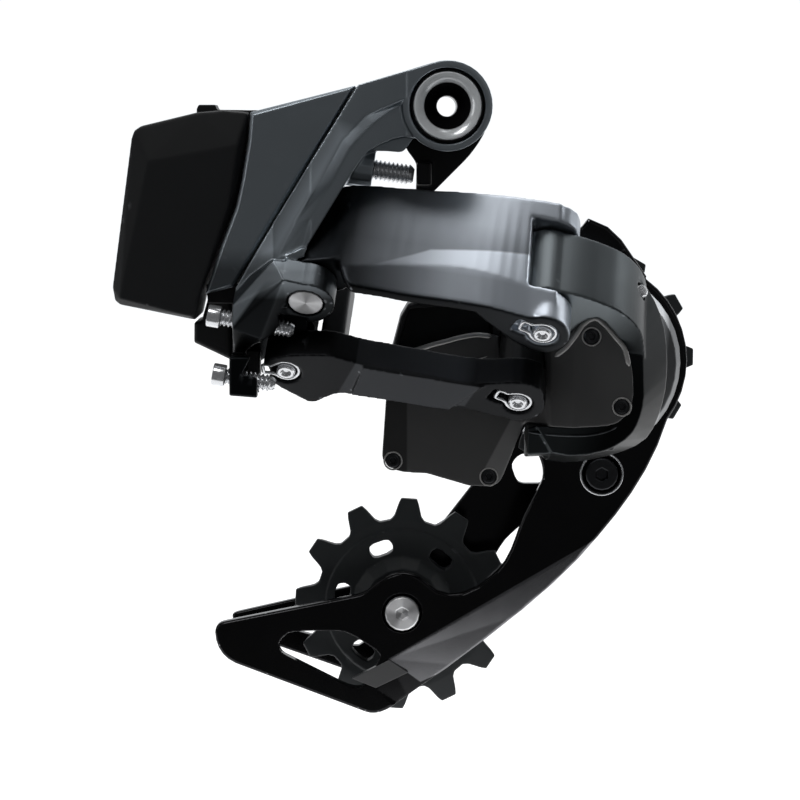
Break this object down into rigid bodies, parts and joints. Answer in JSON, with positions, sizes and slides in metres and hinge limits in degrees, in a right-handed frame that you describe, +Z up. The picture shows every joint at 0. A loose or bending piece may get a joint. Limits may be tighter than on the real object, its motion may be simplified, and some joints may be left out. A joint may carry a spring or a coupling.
{
  "type": "rear bicycle derailleur",
  "caption": "Wireless electronic rear bicycle derailleur: slanted parallelogram with motor housing, slide-off battery and a sprung two-plate cage carrying toothed pulleys.",
  "frame": {"origin": "on the hanger bolt's axis, in the plane where the stop plate meets the bicycle's hanger", "axes": "+Z up, +X towards the front of the bicycle, +Y inboard towards the wheel along the hanger bolt"},
  "size_m": [0.1343, 0.0637, 0.156],
  "materials": {
    "anodised": "satin anodised, dark blue-grey",
    "link_anodised": "satin anodised, mid grey",
    "inner_anodised": "satin anodised, near black",
    "cage": "gloss black anodised",
    "steel": "turned and polished",
    "dark_steel": "black oxide",
    "stop_plate": "satin black",
    "shell": "fine matt texture",
    "battery": "fine matt texture",
    "cover": "satin moulded",
    "pulley": "moulded charcoal",
    "bushing": "plain bronze",
    "bearing": "ground and polished",
    "cell": "sleeved",
    "contacts": "gold plated",
    "board": "solder-masked",
    "gear": "hobbed",
    "motor": "drawn can",
    "spring": "oiled spring wire"
  },
  "bodies": {
    "hanger_mount": {"hanger_bolt": "steel", "hanger_washer": "dark_steel", "hanger_stop_plate": "stop_plate"},
    "upper_knuckle": {"b_knuckle": "anodised", "b_bushing": "bushing", "outer_rear_pin": "steel", "battery_dock": "anodised", "dock_foot": "shell", "dock_contacts": "contacts", "latch_pin": "steel"},
    "angle_screw": {"b_adjust_screw": "steel"},
    "high_limit_screw": {"upper_limit_screw": "steel"},
    "low_limit_screw": {"lower_limit_screw": "steel"},
    "battery": {"battery_case": "battery", "battery_cell_1": "cell", "battery_cell_2": "cell"},
    "latch": {"battery_latch": "shell"},
    "outer_arm": {"outer_link": "link_anodised", "outer_front_pin": "steel", "outer_front_clip": "steel"},
    "inner_arm": {"inner_link": "inner_anodised", "inner_rear_pin": "steel", "inner_rear_clip": "steel", "inner_front_pin": "steel", "inner_front_clip": "steel"},
    "lower_knuckle": {"p_knuckle": "anodised", "gearbox_housing": "shell", "motor_cover": "cover", "cover_screw_1": "dark_steel", "cover_screw_2": "dark_steel", "cover_screw_3": "dark_steel", "cover_screw_4": "dark_steel", "shift_motor": "motor", "reduction_shaft": "steel", "circuit_board": "board", "damper_housing": "anodised", "cage_spring": "spring"},
    "pinion": {"motor_pinion": "gear"},
    "reduction": {"reduction_gear": "gear"},
    "button": {"function_button": "steel"},
    "cage": {"cage_spindle": "steel", "outer_cage_plate": "cage", "inner_cage_plate": "cage", "cage_stop_bolt": "dark_steel", "upper_pulley_bolt": "dark_steel", "lower_pulley_bolt": "steel", "upper_outer_dust_cover": "dark_steel", "lower_outer_dust_cover": "dark_steel", "upper_inner_dust_cover": "dark_steel", "lower_inner_dust_cover": "dark_steel"},
    "guide_pulley": {"upper_pulley": "pulley", "upper_bearing": "bearing"},
    "tension_pulley": {"lower_pulley": "pulley", "lower_bearing": "bearing"}
  },
  "joints": [
    {"name": "hanger_swing", "type": "hinge", "parent": "hanger_mount", "child": "upper_knuckle", "pos_m": [0, 0, 0], "axis": [0, 1, 0], "range_deg": [0, 8]},
    {"name": "angle_screw_travel", "type": "slide", "parent": "upper_knuckle", "child": "angle_screw", "axis": [-0.989, 0, 0.148], "range_m": [0, 0.0018]},
    {"name": "high_limit_travel", "type": "slide", "parent": "upper_knuckle", "child": "high_limit_screw", "axis": [-0.9855, 0, 0.1698], "range_m": [0, 0.0018]},
    {"name": "low_limit_travel", "type": "slide", "parent": "upper_knuckle", "child": "low_limit_screw", "axis": [-0.9855, 0, 0.1698], "range_m": [0, 0.0018]},
    {"name": "battery_release", "type": "slide", "parent": "upper_knuckle", "child": "battery", "axis": [-1, 0, 0], "range_m": [0, 0.03]},
    {"name": "latch_turn", "type": "hinge", "parent": "upper_knuckle", "child": "latch", "pos_m": [-0.0406, 0, -0.003], "axis": [0, 1, 0], "range_deg": [0, 25]},
    {"name": "link_shift", "type": "hinge", "parent": "upper_knuckle", "child": "outer_arm", "pos_m": [-0.0312, -0.024, -0.043], "axis": [0.1, 0.712, 0.695], "range_deg": [-8, 45]},
    {"name": "inner_link_turn", "type": "hinge", "parent": "upper_knuckle", "child": "inner_arm", "pos_m": [-0.036, -0.016, -0.0592], "axis": [0.1, 0.712, 0.695], "range_deg": [-8, 45]},
    {"name": "lower_knuckle_turn", "type": "hinge", "parent": "outer_arm", "child": "lower_knuckle", "pos_m": [0.0207, -0.0245, -0.05], "axis": [0.1, 0.712, 0.695], "range_deg": [-45, 8]},
    {"name": "reduction_turn", "type": "hinge", "parent": "lower_knuckle", "child": "reduction", "pos_m": [-0.0014, 0, -0.0614], "axis": [0, 1, 0], "range_deg": [-96, 540]},
    {"name": "pinion_turn", "type": "hinge", "parent": "lower_knuckle", "child": "pinion", "pos_m": [-0.0036, 0, -0.0724], "axis": [0, 1, 0], "range_deg": [-1350, 240]},
    {"name": "button_press", "type": "slide", "parent": "lower_knuckle", "child": "button", "axis": [-0.4206, 0.721, -0.5507], "range_m": [0, 0.0008], "stiffness_N_per_m": 400, "springref_m": -0.001},
    {"name": "cage_turn", "type": "hinge", "parent": "lower_knuckle", "child": "cage", "pos_m": [0.0332, 0, -0.0594], "axis": [0, -1, 0], "range_deg": [0, 90], "stiffness_Nm_per_rad": 0.25, "springref_deg": -120.32, "deforming": ["cage_spring"]},
    {"name": "guide_pulley_spin", "type": "hinge", "parent": "cage", "child": "guide_pulley", "pos_m": [0.0332, 0, -0.0594], "axis": [0, 1, 0], "continuous": true},
    {"name": "tension_pulley_spin", "type": "hinge", "parent": "cage", "child": "tension_pulley", "pos_m": [-0.01, 0, -0.1199], "axis": [0, 1, 0], "continuous": true}
  ],
  "couplings": [
    {"joint": "inner_link_turn", "follows": "link_shift", "ratio": 1},
    {"joint": "lower_knuckle_turn", "follows": "link_shift", "ratio": -1},
    {"joint": "reduction_turn", "follows": "link_shift", "ratio": 12},
    {"joint": "pinion_turn", "follows": "link_shift", "ratio": -30}
  ]
}
